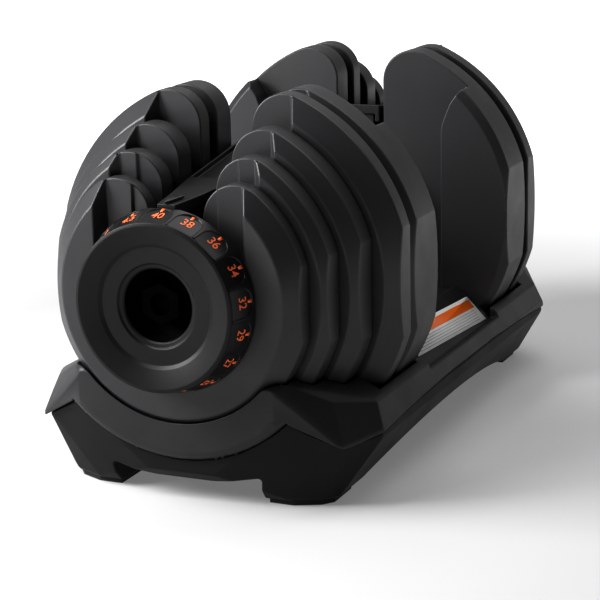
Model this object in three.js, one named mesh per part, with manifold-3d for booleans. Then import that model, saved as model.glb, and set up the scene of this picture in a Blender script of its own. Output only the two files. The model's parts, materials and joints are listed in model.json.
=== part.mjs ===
// Adjustable dumbbell in its base tray. Millimetres, +Z up, origin under the middle of the tray.
// The handle lies along Y. The front dial faces -Y, and the rear end is the front end turned half
// a turn about Z. Every weight plate is a turned disc about the handle's axis, with flat sides,
// an open-topped slot for the shaft and a pocket for its selector disc.
import * as THREE from 'three';
import { ConvexGeometry } from 'three/addons/geometries/ConvexGeometry.js';
import { mergeVertices } from 'three/addons/utils/BufferGeometryUtils.js';
import Module from 'manifold-3d';

const wasm = await Module();
wasm.setup();

// ---------------------------------------------------------------- driving dimensions
const AXIS_Z = 117;            // height of the handle's axis above the ground
const DIAL_FACE_Y = 218;       // half of the overall length
const PAD_HEIGHT = 3;          // rubber foot pads
const SEAM_Z = 37;             // parting line between the tray's base and its cradle
const SEAM_RISE = { height: 6, reach: 172, from: 88 };   // it arches along each long side
const GAP = 0.3;               // clearance between pieces that touch

// Plates of one end, from the dial inwards. face, front and back are distances from the middle:
// the raised front face, the rim's front edge, which is also the lobes' face, and the back.
const PLATES = [
  { name: 'plate_1', radius: 76.3, flat: 73.6, face: 197.0, front: 187.6, back: 177.3 },
  { name: 'plate_2', radius: 85.8, flat: 82.6, face: 176.3, front: 171.2, back: 157.3 },
  { name: 'plate_3', radius: 96.2, flat: 92.4, face: 156.2, front: 149.2, back: 133.6 },
  { name: 'plate_4', radius: 110.3, flat: 106, face: 132.2, front: 121.4, back: 109.3 },
  { name: 'plate_5', radius: 110.3, flat: 106, face: 107.6, front: 99.3, back: 81 },
];
const PLATE_FLOOR_Z = 17;      // the largest plates are cut flat at the bottom
const SLOT_HALF = 16;          // open-topped slot in every plate
const LOBE_ROUND = 20;         // rounding where the slot meets the rim
const POCKET = { half: 41, flare: 4.2 };   // recess for the selector disc, wider at the face
const RIM_CHAMFER = 1.2;
const OPEN_TOP = 240;          // cuts that are open upwards end well above the plates
const FAR = 130;               // cuts that run out sideways end well outside the tray

// Cheeks of the innermost plate, on the side of the hand
const CHEEK_BACK = 64.2;
const CHEEK_BEVEL = 4.5;
const CHEEK_INNER_X = 61.5;
const CHEEK_CORNER = { x: 74, z: 198 };

// Selector: dial, sleeve and discs that turn together
const DIAL_RADIUS = 46.8;
const DIAL_BACK = 198.3;
const DIAL_RING_RADIUS = 51.5;
const DIAL_RING_FRONT = 215.2;
const DIAL_STEPS = 17;
const DIAL_HOLE = { radius: 20.1, bottom: 201 };
const DIAL_BORE = 40;          // the number ring sits on the knob's barrel
const SLEEVE_RADIUS = 10;
const SPINDLE_RADIUS = 6;
const DISC_RADIUS = 39;
const DISC_FLANGE = 3.2;
const DISC_THICK = 1.6;
const DISC_WEB = 2.2;          // the web stands this far in front of the pocket's floor
const LUG = { inner: 29.5, outer: 34.5, half: 6, height: 1.6 };
const NUT = { inner: 201.4, outer: 207.4, radius: 13, round: 1.5 };
const SPINDLE_HALF = 204.5;

// Handle
const GRIP_HALF = 58;
const GRIP_RADIUS = 16.5;
const TUBE_RADIUS = 11;
const TUBE_HALF = 94;
const GRIP_SWELL = 1.8;
const COLLAR = { inner: 58.5, outer: 64.5, radius: 33, hub: 20 };
const ARM = { inner: 82, outer: 88, half: 9, eye: 14 };
const LOCK = { y: 71, pinRadius: 4, pinFrom: 74.6, pinTo: 96, housingHalf: 8, housingFrom: 80.5 };

// Bridge over the selector discs, as height of its top at distances from the middle
const BRIDGE_HALF = 14;
const BRIDGE_WALL = 3;
const BRIDGE_TOP = [[79, 183.9], [144, 173.6], [172, 171], [197, 169.6]];
const BRIDGE_DEPTH = 11;
const BRIDGE_ROOF = 6;         // thickness of the cover, with the trough in its top
const BRIDGE_NOSE = { half: 5.5, from: 144 };
const TROUGH = { half: 12.4, from: 84, to: 141, depth: 3 };
const POINTER = { half: 4, back: 183, reach: 3, height: 2.2 };

// Tray
const TRAY_HALF = 105;
const TRAY_ARC = 91.3;         // radius of the cradle's lip about the handle's axis
const CLEAR = 1.3;             // plate to cradle
const FLOOR_TOP = 13.5;
const LIP = { face: 196.4, roundFrom: 85.5, edge: 193.6 };
const DECK = { half: 62.4, floor: 69, floorX: 68, ridge: 70.8, ridgeX: 76.4, railX: 96.4, railZ: 50.8 };
const LABEL = { width: 19, length: 113, thick: 0.7, tilt: 0.054, x: 86.9, z: 61.9 };
const NOTCH = { half: 95, from: 63, to: 131, z: 47 };   // level cut beside the two large plates
const FOOT = { innerX: 43.4, from: 133 };
const ARCH = { height: 21, innerX: 74 };
const END_ARCH = { height: 12.5, half: 18, shoulder: 17 };
const SCREW = { x: 58, y: 110, from: 5.2, to: 7.7, radius: 4.2 };

const SEGMENTS = 40;

// ---------------------------------------------------------------- materials
const finish = (color, roughness, metalness = 0) => {
  return new THREE.MeshStandardMaterial({ color, roughness, metalness });
};
const plateCoat = finish(0x26262a, 0.5);
const trayPlastic = finish(0x242428, 0.55);
const basePlastic = finish(0x1d1d20, 0.6);
const dialPlastic = finish(0x1b1b1d, 0.45);
const ringPlastic = finish(0x161617, 0.4);
const bridgePlastic = finish(0x1f1f22, 0.4);
const rubber = finish(0x141414, 0.85);
const steel = finish(0x9a9a9d, 0.35, 1);
const zinc = finish(0x6f7073, 0.4, 1);
const paper = finish(0xf2f0ec, 0.5);
const gloss = finish(0x2b2b2e, 0.15);

// ---------------------------------------------------------------- solids
// A geometry as a solid: only positions, shared vertices merged, faces pointing out.
function solid(geometry) {
  const bare = geometry.index ? geometry.toNonIndexed() : geometry.clone();
  bare.deleteAttribute('normal');
  bare.deleteAttribute('uv');
  const merged = mergeVertices(bare, 1e-4);
  const position = merged.getAttribute('position').array;
  const index = [];
  const all = merged.index.array;
  for (let i = 0; i < all.length; i += 3) {
    const [a, b, c] = [all[i], all[i + 1], all[i + 2]];
    if (a !== b && b !== c && a !== c) index.push(a, b, c);
  }
  if (signedVolume(position, index) < 0) {
    for (let i = 0; i < index.length; i += 3) [index[i], index[i + 1]] = [index[i + 1], index[i]];
  }
  const vertProperties = new Float32Array(position);
  const triVerts = new Uint32Array(index);
  return new wasm.Manifold(new wasm.Mesh({ numProp: 3, vertProperties, triVerts }));
}

function signedVolume(p, index) {
  let sum = 0;
  for (let i = 0; i < index.length; i += 3) {
    const [a, b, c] = [index[i] * 3, index[i + 1] * 3, index[i + 2] * 3];
    sum += p[a] * (p[b + 1] * p[c + 2] - p[b + 2] * p[c + 1])
      - p[a + 1] * (p[b] * p[c + 2] - p[b + 2] * p[c])
      + p[a + 2] * (p[b] * p[c + 1] - p[b + 1] * p[c]);
  }
  return sum / 6;
}

function geometryOf(body) {
  const mesh = body.getMesh();
  const geometry = new THREE.BufferGeometry();
  geometry.setAttribute('position', new THREE.BufferAttribute(new Float32Array(mesh.vertProperties), 3));
  geometry.setIndex(new THREE.BufferAttribute(new Uint32Array(mesh.triVerts), 1));
  geometry.computeVertexNormals();
  return geometry;
}

function block(x0, x1, y0, y1, z0, z1) {
  const geometry = new THREE.BoxGeometry(x1 - x0, y1 - y0, z1 - z0);
  return solid(geometry.translate((x0 + x1) / 2, (y0 + y1) / 2, (z0 + z1) / 2));
}

// Turned about the handle's axis from points [radius, distance from the middle], at the front end.
function turned(points, segments = SEGMENTS) {
  const profile = points.map(([r, out]) => new THREE.Vector2(r, -out));
  const closed = points[0][0] > 0;
  if (closed) profile.push(profile[0].clone());
  const geometry = new THREE.LatheGeometry(profile, segments, Math.PI / segments);
  return solid(geometry.translate(0, 0, AXIS_Z));
}

// An outline in X and Z, pushed along Y between two distances from the middle, at the front end.
function pushed(shape, inner, outer, curveSegments = 6) {
  const options = { depth: outer - inner, bevelEnabled: false, curveSegments };
  const geometry = new THREE.ExtrudeGeometry(shape, options);
  return solid(geometry.rotateX(Math.PI / 2).translate(0, -inner, 0));
}

// An outline in Y and Z, pushed along X between two places.
function pushedAcross(shape, x0, x1, curveSegments = 12) {
  const options = { depth: x1 - x0, bevelEnabled: false, curveSegments };
  const geometry = new THREE.ExtrudeGeometry(shape, options);
  return solid(geometry.rotateY(Math.PI / 2).rotateX(Math.PI / 2).translate(x0, 0, 0));
}

function outline(points) {
  return new THREE.Shape(points.map(([a, b]) => new THREE.Vector2(a, b)));
}

function post(x, y, z0, z1, radius, segments = 16) {
  const geometry = new THREE.CylinderGeometry(radius, radius, z1 - z0, segments);
  return solid(geometry.rotateX(Math.PI / 2).translate(x, y, (z0 + z1) / 2));
}

// The same body at the other end, half a turn about Z, and the two together.
const halfTurn = (body) => solid(geometryOf(body).rotateZ(Math.PI));
const atBothEnds = (body) => body.add(halfTurn(body));

// ---------------------------------------------------------------- weight plates
// A U outline about the axis: round at the bottom, open upwards.
function channel(half) {
  const shape = new THREE.Shape();
  shape.moveTo(half, OPEN_TOP);
  shape.lineTo(-half, OPEN_TOP);
  shape.lineTo(-half, AXIS_Z);
  shape.absarc(0, AXIS_Z, half, Math.PI, 2 * Math.PI, false);
  shape.lineTo(half, OPEN_TOP);
  return shape;
}

// The pocket: a channel whose walls lean outwards from its floor to the plate's face.
function pocket({ front, face }) {
  const reach = 20;
  const options = { depth: reach, bevelEnabled: false, curveSegments: 6 };
  const geometry = new THREE.ExtrudeGeometry(channel(POCKET.half), options);
  const position = geometry.getAttribute('position');
  const lean = POCKET.flare / POCKET.half / (face - front);
  for (let i = 0; i < position.count; i += 1) {
    const grown = 1 + lean * position.getZ(i);
    const height = position.getY(i) - AXIS_Z;
    position.setX(i, position.getX(i) * grown);
    position.setY(i, AXIS_Z + (height < 0 ? height * grown : height));
  }
  return solid(geometry.rotateX(Math.PI / 2).translate(0, -front, 0));
}

// What is cut away where the slot's edge meets the round rim, on the +X side.
function lobeCorner(radius) {
  const reach = radius - LOBE_ROUND;
  const centreX = SLOT_HALF + LOBE_ROUND;
  const centreZ = AXIS_Z + Math.sqrt(reach ** 2 - centreX ** 2);
  const rimAngle = Math.atan2(centreZ - AXIS_Z, centreX);
  const touch = [centreX + LOBE_ROUND * Math.cos(rimAngle), centreZ + LOBE_ROUND * Math.sin(rimAngle)];
  const shape = new THREE.Shape();
  shape.moveTo(0, centreZ);
  shape.lineTo(SLOT_HALF, centreZ);
  shape.absarc(centreX, centreZ, LOBE_ROUND, Math.PI, rimAngle, true);
  shape.lineTo(touch[0] + 2 * Math.cos(rimAngle), touch[1] + 2 * Math.sin(rimAngle));
  shape.lineTo(touch[0], OPEN_TOP);
  shape.lineTo(0, OPEN_TOP);
  return shape;
}

function mirrored(shape) {
  return new THREE.Shape(shape.getPoints(6).map((p) => new THREE.Vector2(-p.x, p.y)).reverse());
}

function plateRound({ radius, face, front, back }) {
  return turned([
    [0, back], [radius - RIM_CHAMFER, back], [radius, back + RIM_CHAMFER],
    [radius, front], [radius - (face - front), face], [0, face],
  ]);
}

function lug({ front }) {
  return block(-LUG.half, LUG.half, -front - LUG.height, -front + 1, AXIS_Z - LUG.outer, AXIS_Z - LUG.inner);
}

// Two cheeks that stand towards the hand, either side of the grip.
function cheeks({ radius, back }) {
  const rim = turned([
    [0, CHEEK_BACK], [radius - CHEEK_BEVEL, CHEEK_BACK], [radius, CHEEK_BACK + CHEEK_BEVEL],
    [radius, back + 1], [0, back + 1],
  ]);
  const corner = CHEEK_CORNER;
  const side = outline([
    [FAR, 20], [FAR, corner.z], [corner.x, corner.z], [CHEEK_INNER_X + 6, corner.z - 9],
    [CHEEK_INNER_X, corner.z - 24], [CHEEK_INNER_X, 62], [CHEEK_INNER_X + 8, 20],
  ]);
  const right = pushed(side, CHEEK_BACK - 1, back + 2);
  return rim.intersect(right.add(pushed(mirrored(side), CHEEK_BACK - 1, back + 2)));
}

function weightPlate(plate, index) {
  let body = plateRound(plate);
  if (index === PLATES.length - 1) body = body.add(cheeks(plate));
  const inner = CHEEK_BACK - 1;
  const outer = plate.face + 1;
  body = body.intersect(block(-plate.flat, plate.flat, -outer, -inner, PLATE_FLOOR_Z, OPEN_TOP));
  body = body.subtract(pushed(channel(SLOT_HALF), inner, outer));
  body = body.subtract(pocket(plate));
  const corner = lobeCorner(plate.radius);
  body = body.subtract(pushed(corner, inner, outer));
  body = body.subtract(pushed(mirrored(corner), inner, outer));
  return body.add(lug(plate));
}

// ---------------------------------------------------------------- selector
// Each disc has a thin web and a raised edge that passes under its plate's lug. The edge is
// broken where the plate stays behind, and every disc is broken in a different place.
function selectorDisc(plate, index) {
  const webBack = plate.front + DISC_WEB;
  const web = [[SLEEVE_RADIUS + GAP, webBack], [DISC_RADIUS, webBack],
    [DISC_RADIUS, webBack + DISC_THICK], [SLEEVE_RADIUS + GAP, webBack + DISC_THICK]];
  const edge = [[DISC_RADIUS - DISC_FLANGE, plate.front + 0.5], [DISC_RADIUS, plate.front + 0.5],
    [DISC_RADIUS, webBack + 0.5], [DISC_RADIUS - DISC_FLANGE, webBack + 0.5]];
  const step = (2 * Math.PI) / DIAL_STEPS;
  let raised = turned(edge, 26);
  for (let gap = 0; gap < 2; gap += 1) {
    const angle = step * (3 + index * 2.5 + gap * (3 + index % 3));
    raised = raised.subtract(wedge(angle, step * 1.2, plate.front));
  }
  return turned(web, 26).add(raised);
}

function wedge(angle, spread, front) {
  const reach = 60;
  const points = [-0.5, 0.5].map((k) => [
    reach * Math.sin(angle + k * spread), AXIS_Z + reach * Math.cos(angle + k * spread),
  ]);
  return pushed(outline([[0, AXIS_Z], points[1], points[0]]), front, front + DISC_WEB);
}

function selectorSleeve() {
  const inner = PLATES[4].front + 0.8;
  const outer = DIAL_BACK - 0.5;
  return turned([
    [SPINDLE_RADIUS + GAP, inner], [SLEEVE_RADIUS, inner],
    [SLEEVE_RADIUS, outer], [SPINDLE_RADIUS + GAP, outer],
  ], 24);
}

// The knob: a dished front with a raised ring, a deep round hole and a hub on the sleeve.
function dialKnob() {
  const face = DIAL_FACE_Y;
  return turned([
    [SPINDLE_RADIUS + GAP, DIAL_BACK], [DIAL_BORE, DIAL_BACK], [DIAL_BORE, DIAL_RING_FRONT + GAP],
    [DIAL_RADIUS, DIAL_RING_FRONT + GAP], [DIAL_RADIUS, face - 1.2], [DIAL_RADIUS - 1.2, face],
    [32, face], [30, face - 1.8], [DIAL_HOLE.radius + 1.5, face - 3.6],
    [DIAL_HOLE.radius, face - 5.2], [DIAL_HOLE.radius, DIAL_HOLE.bottom],
    [SPINDLE_RADIUS + GAP, DIAL_HOLE.bottom],
  ], 34);
}

// The number ring: one slightly hollow flat for each setting.
function dialRing() {
  const step = (2 * Math.PI) / DIAL_STEPS;
  const points = [];
  for (let i = 0; i < DIAL_STEPS; i += 1) {
    for (const [part, depth] of [[-0.5, 0], [-0.42, 0.9], [0.42, 0.9]]) {
      const angle = step * (i + part);
      const r = DIAL_RING_RADIUS - depth;
      points.push([r * Math.sin(angle), AXIS_Z + r * Math.cos(angle)]);
    }
  }
  const taper = turned([
    [DIAL_BORE + GAP, DIAL_BACK - 1], [DIAL_RING_RADIUS, DIAL_BACK - 1],
    [DIAL_RING_RADIUS, DIAL_BACK + 1], [DIAL_RADIUS, DIAL_RING_FRONT],
    [DIAL_RADIUS, DIAL_RING_FRONT + 1], [DIAL_BORE + GAP, DIAL_RING_FRONT + 1],
  ], 34);
  return pushed(outline(points), DIAL_BACK, DIAL_RING_FRONT).intersect(taper);
}

// ---------------------------------------------------------------- handle
function grip() {
  const steps = 6;
  const points = [[TUBE_RADIUS + GAP, -GRIP_HALF]];
  for (let i = 0; i <= steps; i += 1) {
    const t = -1 + (2 * i) / steps;
    const swell = GRIP_SWELL * Math.cos((t * Math.PI) / 2) ** 2;
    const rounded = Math.abs(t) === 1 ? 1.5 : 0;
    points.push([GRIP_RADIUS - GRIP_SWELL + swell - rounded, t * GRIP_HALF]);
  }
  points.push([TUBE_RADIUS + GAP, GRIP_HALF]);
  return turned(points, 24);
}

function handleTube() {
  return turned([
    [SPINDLE_RADIUS + GAP, -TUBE_HALF], [TUBE_RADIUS, -TUBE_HALF],
    [TUBE_RADIUS, TUBE_HALF], [SPINDLE_RADIUS + GAP, TUBE_HALF],
  ], 24);
}

function spindle() {
  return turned([
    [0, -SPINDLE_HALF], [SPINDLE_RADIUS, -SPINDLE_HALF], [SPINDLE_RADIUS, SPINDLE_HALF], [0, SPINDLE_HALF],
  ], 24);
}

// A round hole along the handle's axis, cut between two distances from the middle.
function bore(radius, inner, outer) {
  return turned([[0, inner], [radius, inner], [radius, outer], [0, outer]], 24);
}

function spindleNut() {
  const { inner, outer, radius, round } = NUT;
  const hex = turned([
    [0, inner], [radius, inner], [radius, outer - round], [radius - round, outer], [0, outer],
  ], 6);
  return hex.subtract(bore(SPINDLE_RADIUS + GAP, inner - 1, outer + 1));
}

// A guard disc at each end of the grip, with a housing for the lock pin below it.
function collar() {
  const { inner, outer, radius, hub } = COLLAR;
  const hole = TUBE_RADIUS + GAP;
  const disc = turned([
    [hole, inner], [radius - 2, inner], [radius, inner + 2],
    [radius, outer], [hub, outer], [hub, ARM.inner - 1], [hole, ARM.inner - 1],
  ], 24);
  const half = LOCK.housingHalf;
  const housing = block(-half, half, -LOCK.y - 7, -inner - 1, LOCK.housingFrom, AXIS_Z - 15);
  const pinHole = post(0, -LOCK.y, LOCK.housingFrom - 1, LOCK.pinTo + 1, LOCK.pinRadius + 0.4);
  return disc.add(housing).subtract(pinHole);
}

// ---------------------------------------------------------------- bridge
function bridge() {
  const [first] = BRIDGE_TOP;
  const last = BRIDGE_TOP[BRIDGE_TOP.length - 1];
  const upper = BRIDGE_TOP.map(([out, z]) => [-out, z]);
  const lower = upper.map(([y, z]) => [y, z - BRIDGE_DEPTH]).reverse();
  const ceiling = upper.slice(1, -1).map(([y, z]) => [y, z - BRIDGE_ROOF]);
  const open = 30;
  const under = outline([
    [-first[0] + 1, first[1] - BRIDGE_ROOF], ...ceiling,
    [-last[0] + BRIDGE_WALL, last[1] - BRIDGE_ROOF], [-last[0] + BRIDGE_WALL, last[1] - open],
    [-first[0] + 1, first[1] - open],
  ]);
  const inside = BRIDGE_HALF - BRIDGE_WALL;
  const hull = pushedAcross(outline([...upper, ...lower]), -BRIDGE_HALF, BRIDGE_HALF);
  const arm = block(-ARM.half, ARM.half, -ARM.outer, -ARM.inner, AXIS_Z - ARM.eye + 1, first[1] - 6);
  let body = hull.subtract(pushedAcross(under, -inside, inside)).subtract(trough());
  for (const side of [-1, 1]) body = body.subtract(besideNose(side));
  body = body.add(arm).add(bore(ARM.eye, ARM.inner, ARM.outer));
  return body.subtract(bore(TUBE_RADIUS + GAP, 70, 100));
}

// The shallow trough between the side rails of the bridge, its floor parallel to the top.
function trough() {
  const { half, from, to, depth } = TROUGH;
  const [[nearOut, nearZ], [farOut, farZ]] = BRIDGE_TOP;
  const floorAt = (out) => nearZ + ((out - nearOut) * (farZ - nearZ)) / (farOut - nearOut) - depth;
  const side = outline([[-from, floorAt(from)], [-from, OPEN_TOP], [-to, OPEN_TOP], [-to, floorAt(to)]]);
  return pushedAcross(side, -half, half);
}

// What is taken off each side so that the bridge narrows towards the dial.
function besideNose(side) {
  const { half, from } = BRIDGE_NOSE;
  const [tip] = BRIDGE_TOP[BRIDGE_TOP.length - 1];
  const corners = [];
  for (const z of [AXIS_Z, OPEN_TOP]) {
    corners.push([BRIDGE_HALF, from, z], [half, tip, z], [half, tip + 2, z]);
    corners.push([BRIDGE_HALF + 9, from, z], [BRIDGE_HALF + 9, tip + 2, z]);
  }
  return solid(new ConvexGeometry(corners.map(([x, out, z]) => new THREE.Vector3(side * x, -out, z))));
}

// A raised arrow on the bridge that points at the dial's top figure.
function pointer() {
  const { half, back, reach, height } = POINTER;
  const last = BRIDGE_TOP[BRIDGE_TOP.length - 1];
  const z = last[1] + GAP;
  const corners = [[0, last[0] + reach, z], [0, last[0] + reach, z + 1.6]];
  for (const x of [-half, half]) corners.push([x, back, z + 0.8], [x, back, z + height]);
  return solid(new ConvexGeometry(corners.map(([x, out, up]) => new THREE.Vector3(x, -out, up))));
}

// ---------------------------------------------------------------- lock
function lockPin() {
  return post(0, -LOCK.y, LOCK.pinFrom, LOCK.pinTo, LOCK.pinRadius);
}

// The stop on the deck that holds the lock pin up while the dumbbell stands in its tray.
function lockPost() {
  const foot = post(0, -56, DECK.floor + GAP, DECK.floor + 3, 8);
  return foot.add(block(-5, 5, -75, -52, DECK.floor + 1.6, DECK.floor + 4.8));
}

// ---------------------------------------------------------------- tray
function bothSigns(points) {
  const all = [];
  for (const [x, y, z] of points) {
    for (const sx of [-1, 1]) for (const sy of [-1, 1]) all.push(new THREE.Vector3(sx * x, sy * y, z));
  }
  return all;
}

// Outer body of the cradle: straight rails, shoulders that rise to the end saddles, cut corners.
function cradleOuter() {
  return solid(new ConvexGeometry(bothSigns([
    [TRAY_HALF, 150, 20], [92.3, 181, 20], [58, 197, 20], [TRAY_HALF, 150, 42], [92.3, 181, 39],
    [99.5, 146, 56], [85, 174, 61], [62, 190.5, 75.5], [58, 197, 73],
  ])));
}

function baseOuter() {
  return solid(new ConvexGeometry(bothSigns([
    [83, 130, PAD_HEIGHT], [83, 163, PAD_HEIGHT], [76, 171, PAD_HEIGHT], [61, 178, PAD_HEIGHT],
    [TRAY_HALF - 1, 149, 36], [TRAY_HALF - 1, 149, 45], [90.5, 178.5, 41], [62, 190, 55], [20, 192, 18],
  ])));
}

// Everything above the parting line: level on the long sides, round under the end saddles.
function aboveSeam(lift) {
  const seam = SEAM_Z + lift;
  const radius = TRAY_ARC - lift;
  const half = 65;
  const drop = Math.sqrt(radius ** 2 - half ** 2);
  const from = Math.atan2(-drop, half);
  const shape = new THREE.Shape();
  shape.moveTo(FAR, OPEN_TOP);
  shape.lineTo(-FAR, OPEN_TOP);
  shape.lineTo(-FAR, seam);
  shape.lineTo(-93, seam);
  shape.lineTo(-half, AXIS_Z - drop);
  shape.absarc(0, AXIS_Z, radius, Math.PI - from, 2 * Math.PI + from, false);
  shape.lineTo(93, seam);
  shape.lineTo(FAR, seam);
  return pushed(shape, -DIAL_FACE_Y, DIAL_FACE_Y, 20).subtract(seamArches(lift));
}

function seamArches(lift) {
  const { height, reach, from } = SEAM_RISE;
  const shape = new THREE.Shape();
  const steps = 16;
  shape.moveTo(-reach, SEAM_Z - 10);
  for (let i = 0; i <= steps; i += 1) {
    const t = -1 + (2 * i) / steps;
    shape.lineTo(t * reach, SEAM_Z + lift + height * (1 - Math.abs(t) ** 3));
  }
  shape.lineTo(reach, SEAM_Z - 10);
  return atBothEnds(pushedAcross(shape, from - lift, FAR));
}

// The room a plate needs in the tray, open upwards.
function plateRoom(plate, index) {
  const back = (index === PLATES.length - 1 ? CHEEK_BACK : plate.back) - CLEAR;
  const radius = plate.radius + CLEAR;
  const face = plate.face + 0.6;
  const room = turned([
    [0, back], [radius, back], [radius, plate.front + 0.6],
    [radius - (plate.face - plate.front), face], [0, face],
  ]);
  return room.intersect(block(-FAR, FAR, -face - 1, 0, FLOOR_TOP, OPEN_TOP));
}

// What is in front of the open end: the lip's flat face and its rounded lower edge.
function endFace() {
  const { face, roundFrom, edge } = LIP;
  return turned([
    [0, face], [roundFrom, face], [TRAY_ARC, edge], [TRAY_ARC + 3, edge], [TRAY_ARC + 5, face + 4],
    [FAR, face + 30], [FAR, OPEN_TOP], [0, OPEN_TOP],
  ]);
}

function overDeck() {
  const { floor, floorX, ridge, ridgeX, railX, railZ } = DECK;
  const side = [[floorX, floor], [floorX + 4, ridge], [ridgeX, ridge], [railX, railZ],
    [railX + 3, railZ + 1.5], [FAR, railZ + 3], [FAR, OPEN_TOP]];
  const other = side.map(([x, z]) => [-x, z]).reverse();
  return pushed(outline([...other, ...side]), -DECK.half - 1, DECK.half + 1);
}

function trayCradle() {
  let body = cradleOuter().intersect(aboveSeam(0));
  for (const [index, plate] of PLATES.entries()) {
    body = body.subtract(atBothEnds(plateRoom(plate, index)));
  }
  const notch = block(-NOTCH.half, NOTCH.half, -NOTCH.to, -NOTCH.from, NOTCH.z, OPEN_TOP);
  body = body.subtract(atBothEnds(notch)).subtract(atBothEnds(endFace()));
  body = body.subtract(atBothEnds(bore(46, 60, OPEN_TOP)));
  body = body.subtract(overDeck());
  const under = outline([[-72, 0], [-72, 54], [-60, 65], [60, 65], [72, 54], [72, 0]]);
  return body.subtract(pushed(under, -DECK.half + 5, DECK.half - 5));
}

function sideArch() {
  const reach = FOOT.from;
  const shape = new THREE.Shape();
  const steps = 14;
  shape.moveTo(-reach, -5);
  for (let i = 0; i <= steps; i += 1) {
    const t = -1 + (2 * i) / steps;
    shape.lineTo(t * reach, PAD_HEIGHT + (ARCH.height - PAD_HEIGHT) * (1 - t * t));
  }
  shape.lineTo(reach, -5);
  return pushedAcross(shape, ARCH.innerX, FAR);
}

function trayBase() {
  let body = baseOuter().subtract(aboveSeam(-GAP));
  for (const [index, plate] of PLATES.entries()) {
    if (plate.radius > TRAY_ARC) body = body.subtract(atBothEnds(plateRoom(plate, index)));
  }
  body = body.subtract(atBothEnds(sideArch()));
  const { height, half, shoulder } = END_ARCH;
  const endArch = outline([
    [-FOOT.innerX, -5], [-FOOT.innerX - 3, shoulder], [-half, height],
    [half, height], [FOOT.innerX + 3, shoulder], [FOOT.innerX, -5],
  ]);
  body = body.subtract(atBothEnds(pushed(endArch, FOOT.from - 4, DIAL_FACE_Y)));
  const inner = ARCH.innerX - 3;
  body = body.subtract(block(-inner, inner, -FOOT.from, FOOT.from, -5, 8));
  return body.subtract(block(-66, 66, -56, 56, -5, 20));
}

function footPad(side) {
  const corners = [[80, 138], [80, 162], [75, 168.5], [61, 175], [46.5, 175], [46.5, 138]];
  const shape = outline(corners.map(([x, out]) => [side * x, -out]));
  return solid(new THREE.ExtrudeGeometry(shape, { depth: PAD_HEIGHT - GAP, bevelEnabled: false }));
}

function trayScrew(side) {
  const { x, y, from, to, radius } = SCREW;
  const head = post(side * x, -y, from, to, radius);
  return head.subtract(block(side * x - 3, side * x + 3, -y - 0.6, -y + 0.6, from - 1, from + 1));
}

// A printed label on the slope of the deck, a little askew.
function trayLabel() {
  const { width, length, thick, tilt, x, z } = LABEL;
  const geometry = new THREE.BoxGeometry(width, length, thick).translate(0, 0, -thick / 2);
  return solid(geometry.rotateZ(-tilt).rotateY(Math.PI / 4).translate(x, -0.5, z));
}

// ---------------------------------------------------------------- assembly
const dumbbell = new THREE.Group();
dumbbell.name = 'adjustable_dumbbell';

function place(parent, name, body, material) {
  const mesh = new THREE.Mesh(geometryOf(body), material);
  mesh.name = name;
  parent.add(mesh);
}

place(dumbbell, 'tray_base', trayBase(), basePlastic);
place(dumbbell, 'tray_cradle', trayCradle(), trayPlastic);
place(dumbbell, 'tray_label', trayLabel(), paper);
place(dumbbell, 'grip', grip(), rubber);
place(dumbbell, 'handle_tube', handleTube(), steel);
place(dumbbell, 'spindle', spindle(), steel);

for (const [end, turn] of [['front', 0], ['rear', Math.PI]]) {
  const half = new THREE.Group();
  half.rotation.z = turn;
  dumbbell.add(half);
  for (const [index, plate] of PLATES.entries()) {
    place(half, `${end}_${plate.name}`, weightPlate(plate, index), plateCoat);
    place(half, `${end}_disc_${index + 1}`, selectorDisc(plate, index), zinc);
  }
  place(half, `${end}_sleeve`, selectorSleeve(), zinc);
  place(half, `${end}_dial_knob`, dialKnob(), dialPlastic);
  place(half, `${end}_dial_ring`, dialRing(), ringPlastic);
  place(half, `${end}_collar`, collar(), bridgePlastic);
  place(half, `${end}_bridge`, bridge(), bridgePlastic);
  place(half, `${end}_pointer`, pointer(), gloss);
  place(half, `${end}_nut`, spindleNut(), steel);
  place(half, `${end}_lock_pin`, lockPin(), steel);
  place(half, `${end}_lock_post`, lockPost(), trayPlastic);
  for (const [letter, side] of [['a', -1], ['b', 1]]) {
    place(half, `${end}_pad_${letter}`, footPad(side), rubber);
    place(half, `${end}_screw_${letter}`, trayScrew(side), steel);
  }
}

export default dumbbell;
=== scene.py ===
"""Looks of an adjustable dumbbell in its base tray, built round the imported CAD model.

Metres, +Z up, the handle along Y with the front dial facing -Y. Each end is made once, at the
front, as shapes whose places along the handle are distances from the middle, and the rear end
is the same shape turned half a turn about Z.
"""

import json
import math

import bmesh
import bpy
from mathutils import Matrix, Vector
from mathutils.geometry import intersect_line_line_2d


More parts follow.
